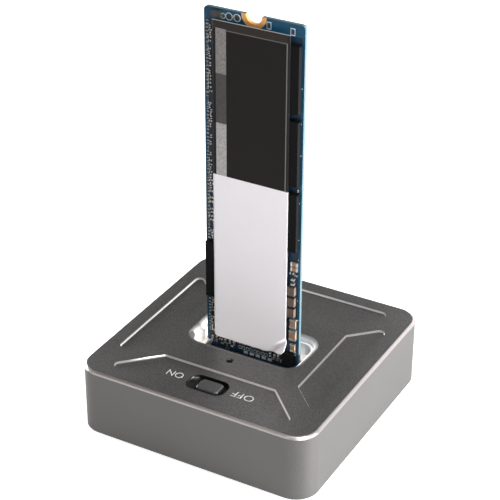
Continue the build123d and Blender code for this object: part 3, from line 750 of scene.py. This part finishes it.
def make_foot_parts():
    """The rows of small parts and printed marks between the label and the slot."""
    tan = [(-9.6, 1.05, 90.0, 0.8), (-7.6, 1.1, 0.0, 0.75), (-5.4, 1.05, 90.0, 0.8),
           (5.4, 1.0, 90.0, 0.8), (-7.3, 0.1, 0.0, 0.6), (5.0, 0.1, 0.0, 0.6), (-4.3, 1.55, 0.0, 0.6),
           (6.9, 0.15, 90.0, 0.6)]
    black = [(-8.6, 1.05, 90.0, 0.85), (-6.5, 1.0, 90.0, 0.85), (-4.4, 0.9, 90.0, 0.8),
             (4.4, 1.05, 90.0, 0.85), (6.3, 1.05, 90.0, 0.85), (-8.9, 0.1, 0.0, 0.6),
             (-6.1, 0.15, 90.0, 0.6), (6.0, 0.1, 0.0, 0.6), (-3.2, 1.6, 0.0, 0.6),
             (-1.9, 1.65, 0.0, 0.6), (0.2, 1.6, 0.0, 0.6), (2.6, 1.6, 0.0, 0.6)]
    marks = [(-1.6 + 1.45 * number, -0.45, 0.0, 1.1) for number in range(5)]
    marks += [(-9.9, 0.1, 90.0, 0.8), (-5.0, 0.0, 0.0, 0.7), (3.6, 1.7, 0.0, 0.6), (-8.0, 1.9, 0.0, 0.5)]
    grow_on_card("foot_capacitors", tan_block, tan, TINY_SIZES, "ceramic")
    grow_on_card("foot_resistors", black_block, black, TINY_SIZES, "chip_black")
    grow_on_card("foot_marks", foot_mark, marks, MARK_SIZES, "ssd_board_blue")


def make_round_pads():
    """Ringed pads by the notch and in pairs above the slot, and solder dots by the right edge."""
    by_notch = [(-5.42, 74.72, 0.0, 1.6), (-3.67, 74.76, 0.0, 1.6)]
    grow_on_card("notch_pads", ringed_pad, by_notch, {"Ring line": 0.1, "Pad radius": 0.33},
                 "ssd_board_blue")
    grow_on_card("olive_pad", ringed_olive_pad, [(-6.75, 74.6, 0.0, 1.15)], {}, "ssd_board_blue")
    pairs = [(x, 0.45, 0.0, 0.85) for x in (-3.0, -2.2, -1.2, -0.4, 0.65, 1.45, 2.45, 3.25)]
    grow_on_card("foot_pads", ringed_pad, pairs, {"Pad radius": 0.3}, "ssd_board_blue")
    dots = [(10.5, v, 0.0, size) for v, size in (
        (63.2, 0.6), (55.8, 0.45), (49.0, 0.5), (38.5, 0.45), (30.2, 0.5), (25.6, 0.5), (16.0, 0.5),
        (11.2, 0.5))]
    grow_on_card("solder_dots", solder_dot, dots, {}, "ssd_board_blue")


def make_corner_part():
    """The black part by the card's upper left corner."""
    grow_on_card("corner_part", plain_block, [(-8.15, 74.95, 0.0, 1.0)], CORNER_SIZES, "chip_black")


SQUARE_WIDTH = 1.0 * MM
SQUARE_HEIGHT = 1.5 * MM


def make_square_pads():
    """Two pads with printed outlines to the right of the notch: an outline, bare mask and a pad."""
    materials = (pale_ink, card_mask, dark_pad)
    shape = bmesh.new()
    for x, v in ((3.25, 74.6), (8.36, 74.35)):
        for index, (share, rise) in enumerate(((1.0, 0.02), (0.74, 0.03), (0.4, 0.05))):
            size = Vector((SQUARE_WIDTH * share, 2 * rise * MM, SQUARE_HEIGHT * share))
            made = bmesh.ops.create_cube(shape, size=1.0)["verts"]
            bmesh.ops.scale(shape, vec=size, verts=made)
            bmesh.ops.translate(shape, vec=(x * MM, CARD_FRONT, CARD_SHOULDER + v * MM), verts=made)
            for face in {face for vert in made for face in vert.link_faces}:
                face.material_index = index
    mesh = bpy.data.meshes.new("square_pads")
    shape.to_mesh(mesh)
    shape.free()
    for material in materials:
        mesh.materials.append(material)
    settle(new_object("square_pads", mesh), "ssd", "ssd_board_blue")


# the label
CURL_REACH = 4.6 * MM
CURL_START = 0.35
CURL_LIFT = 1.2 * MM
CURL_DENT = 0.34 * MM
DENT_SHARE = 0.6
EDGE_RISE = 0.95 * MM
EDGE_REACH_X = 4.5 * MM
EDGE_REACH_Z = 5.0 * MM
LEFT_CORNER = 0.8 * MM
RIGHT_CORNER = 1.4 * MM
LABEL_COLUMNS = 60
LABEL_ROWS = 170
CHIP_GAP = 0.02 * MM


def label_lift(x, z):
    """How far the label stands off the chips: its lower right corner dips, then bends outwards."""
    reach = max(0.0, 1.0 - (label_high.x - x + z - label_low.z) / CURL_REACH)
    dent = CURL_DENT * sin(pi * min(1.0, reach / DENT_SHARE))
    rise = CURL_LIFT * (max(0.0, reach - CURL_START) / (1.0 - CURL_START)) ** 1.5
    return rise - dent


def corner_cut(radius, above):
    """How far a rounded corner steps in at a height above the label's lower edge."""
    if above >= radius:
        return 0.0
    return radius - (radius ** 2 - (radius - above) ** 2) ** 0.5


def label_row(shape, z):
    """One row of the label's points, closer together towards the lifted corner."""
    above = z - label_low.z
    left = LABEL_LEFT + corner_cut(LEFT_CORNER, above)
    right = label_high.x - corner_cut(RIGHT_CORNER, above)
    row = []
    for column in range(LABEL_COLUMNS + 1):
        share = column / LABEL_COLUMNS
        x = left + (right - left) * (1.0 - (1.0 - share) ** 1.35)
        near_edge = max(0.0, 1.0 - (label_high.x - x) / EDGE_REACH_X)
        near_foot = max(0.0, 1.0 - above / EDGE_REACH_Z)
        risen = z + EDGE_RISE * near_edge ** 2 * near_foot
        row.append(shape.verts.new((x, label_low.y - label_lift(x, z), risen)))
    return row


def make_label():
    """The label as one thin sheet over the chips, its lower right corner rounded and bent out."""
    shape = bmesh.new()
    height = label_high.z - label_low.z
    rows = [label_row(shape, label_low.z + height * (row / LABEL_ROWS) ** 1.4)
            for row in range(LABEL_ROWS + 1)]
    for lower, upper in zip(rows, rows[1:]):
        for column in range(LABEL_COLUMNS):
            shape.faces.new((lower[column], lower[column + 1], upper[column + 1], upper[column]))
    mesh = bpy.data.meshes.new("card_label")
    shape.to_mesh(mesh)
    shape.free()
    mesh.materials.append(label_print)
    mesh.materials.append(label_back)
    mesh.shade_smooth()
    piece = new_object("card_label", mesh)
    sheet = piece.modifiers.new("thickness", "SOLIDIFY")
    sheet.thickness = label_high.y - label_low.y - CHIP_GAP
    sheet.offset = -1.0
    sheet.material_offset = 1
    sheet.material_offset_rim = 0
    harden(piece)
    settle(piece, "ssd", "label_sheet", "ssd_label")


make_dock()
make_switch()
make_marking("ON", -7.8, -18.7, 3.6)
make_marking("OFF", 8.2, -18.9, 4.8)
make_card()
make_card_capacitors()
make_strip_parts()
make_foot_parts()
make_round_pads()
make_square_pads()
make_corner_part()
make_label()


# floor, world, lights and camera
FLOOR_REACH = 3.0
FLOOR_COLOUR = (0.62, 0.62, 0.62)
FLOOR_IN_VIEW = 0.88
FLOOR_IN_MIRROR = 0.17
ROOM_LEVEL = 0.15
HORIZON_LEVEL = 1.0
OVERHEAD_LEVEL = 0.11
MIDDLE = Vector((0.0, 0.0, 0.03))


def ray_masks(tree):
    """Masks for what the camera sees, and for what metal and glass show."""
    path = add(tree, "ShaderNodeLightPath").outputs
    mirrored = maths(tree, "MAXIMUM", path["Is Glossy Ray"], path["Is Transmission Ray"])
    return path["Is Camera Ray"], mirrored


def make_floor():
    """A white matt floor that takes the object's shadow, with some white of its own in view."""
    mesh = bpy.data.meshes.new("floor")
    corners = [(-1, -1), (1, -1), (1, 1), (-1, 1)]
    mesh.from_pydata([(x * FLOOR_REACH, y * FLOOR_REACH, 0.0) for x, y in corners], [], [(0, 1, 2, 3)])
    material, tree = new_material("white_floor", (0.8, 0.8, 0.8))
    matt = add(tree, "ShaderNodeBsdfDiffuse", {"Color": FLOOR_COLOUR})
    seen, mirrored = ray_masks(tree)
    strength = maths(tree, "ADD", maths(tree, "MULTIPLY", mirrored, FLOOR_IN_MIRROR),
                     maths(tree, "MULTIPLY", seen, FLOOR_IN_VIEW))
    glow = add(tree, "ShaderNodeEmission", {"Strength": strength})
    total = add(tree, "ShaderNodeAddShader")
    feed(tree, total.inputs[0], matt.outputs[0])
    feed(tree, total.inputs[1], glow.outputs[0])
    add(tree, "ShaderNodeOutputMaterial", {"Surface": total.outputs[0]})
    mesh.materials.append(material)
    new_object("floor", mesh)


def make_world():
    """A pale room: white behind the dock and along the horizon, dimmer overhead, as shiny faces show."""
    world = bpy.data.worlds.new("studio")
    bpy.context.scene.world = world
    world.use_nodes = True
    tree = world.node_tree
    tree.nodes.clear()
    _, _, _, z = object_place(tree)
    fade = add(tree, "ShaderNodeMapRange",
               {"Value": z, "From Min": 0.12, "From Max": 0.42, "To Min": HORIZON_LEVEL,
                "To Max": OVERHEAD_LEVEL}, interpolation_type="SMOOTHSTEP")
    seen, mirrored = ray_masks(tree)
    level = blend_values(tree, mirrored, ROOM_LEVEL, fade.outputs["Result"])
    level = blend_values(tree, seen, level, 1.0)
    room = add(tree, "ShaderNodeBackground", {"Color": (1.0, 1.0, 1.0), "Strength": level})
    add(tree, "ShaderNodeOutputWorld", {"Surface": room.outputs[0]})


def softbox(name, direction, distance, width, height, radiance, tint=(1.0, 1.0, 1.0)):
    """A square lamp that looks at the object's middle; radiance is its brightness as seen."""
    lamp = bpy.data.lights.new(name, "AREA")
    lamp.shape = "RECTANGLE"
    lamp.size = width
    lamp.size_y = height
    lamp.energy = radiance * pi * width * height
    lamp.color = tint
    holder = new_object(name, lamp)
    aim = Vector(direction).normalized()
    holder.location = MIDDLE + aim * distance
    holder.rotation_euler = aim.to_track_quat("Z", "Y").to_euler()
    holder.visible_camera = False


def make_lights():
    softbox("key", (-0.42, -0.52, 0.74), 0.55, 0.32, 0.32, 1.5, (1.0, 0.975, 0.96))
    softbox("right_low", (0.96, 0.16, 0.07), 0.40, 0.20, 0.10, 82.0)
    softbox("corner_low", (0.98, -0.12, 0.02), 0.35, 0.20, 0.07, 44.0)
    softbox("left_low", (-0.88, 0.45, 0.12), 0.40, 0.20, 0.12, 13.0)
    softbox("left_corner", (-0.95, 0.20, 0.03), 0.40, 0.20, 0.08, 40.0)
    softbox("overhead", (0.1, 0.1, 1.0), 0.45, 0.30, 0.30, 1.8)
    softbox("slot", (0.50, -0.22, 0.84), 0.38, 0.18, 0.18, 10.6)
    softbox("right_back", (0.60, 0.80, 0.22), 0.50, 0.34, 0.20, 0.8)
    softbox("back", (0.10, 0.95, 0.45), 0.50, 0.30, 0.20, 3.8)


PHOTO_WIDTH = 500.0
FOCAL_LENGTH = 1613.7


def make_camera():
    """Camera fitted to the card's and the dock's edges in the photograph; lengths in pixels and mm."""
    azimuth, elevation, roll = radians(29.162), radians(29.850), radians(0.197)
    target = Vector((0.0, 0.0, 15.8))
    offset_right, offset_down, distance = 0.719, 18.763, 340.640
    forward = Vector((-sin(azimuth) * cos(elevation), cos(azimuth) * cos(elevation), -sin(elevation)))
    level_right = Vector((cos(azimuth), sin(azimuth), 0.0))
    level_up = level_right.cross(forward)
    right = cos(roll) * level_right + sin(roll) * level_up
    up = cos(roll) * level_up - sin(roll) * level_right
    place = target - offset_right * right + offset_down * up - distance * forward
    camera = bpy.data.cameras.new("camera")
    camera.sensor_fit = "HORIZONTAL"
    camera.sensor_width = 36.0
    camera.lens = FOCAL_LENGTH / PHOTO_WIDTH * camera.sensor_width
    camera.clip_start = 0.01
    camera.clip_end = 20.0
    holder = new_object("camera", camera)
    turn = Matrix((right, up, -forward)).transposed().to_4x4()
    holder.matrix_world = Matrix.Translation(place * MM) @ turn
    bpy.context.scene.camera = holder


make_floor()
make_world()
make_lights()
make_camera()
bpy.context.scene.view_settings.view_transform = "Standard"
